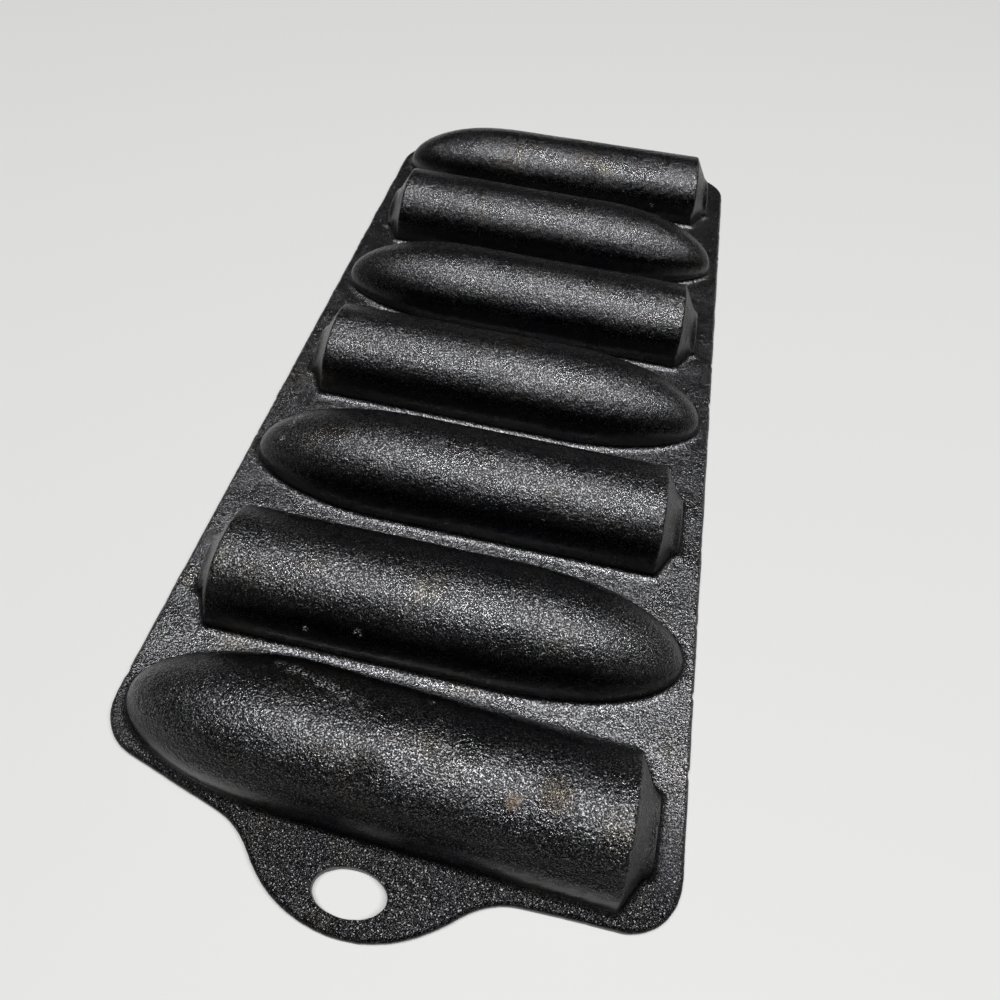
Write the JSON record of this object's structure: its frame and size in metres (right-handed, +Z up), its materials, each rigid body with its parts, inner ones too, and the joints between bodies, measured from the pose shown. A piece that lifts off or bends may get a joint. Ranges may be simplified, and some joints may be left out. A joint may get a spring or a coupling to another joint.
{
  "type": "corn stick pan",
  "caption": "Cast iron baking pan with a row of ear-shaped stick moulds on a flat rim, mouths down, with a holed handle tab at each end.",
  "frame": {"origin": "centre of the footprint on the table, on the plane of the rim's mouth face", "axes": "+X along the sticks, +Y from the near end to the far end, +Z up through the cup backs"},
  "size_m": [0.142, 0.3364, 0.0216],
  "materials": {
    "seasoned_iron": "satin"
  },
  "bodies": {
    "root": {"ear_mould_1": "seasoned_iron", "ear_mould_2": "seasoned_iron", "ear_mould_3": "seasoned_iron", "ear_mould_4": "seasoned_iron", "ear_mould_5": "seasoned_iron", "ear_mould_6": "seasoned_iron", "ear_mould_7": "seasoned_iron", "near_handle_tab": "seasoned_iron", "far_handle_tab": "seasoned_iron"}
  },
  "joints": []
}
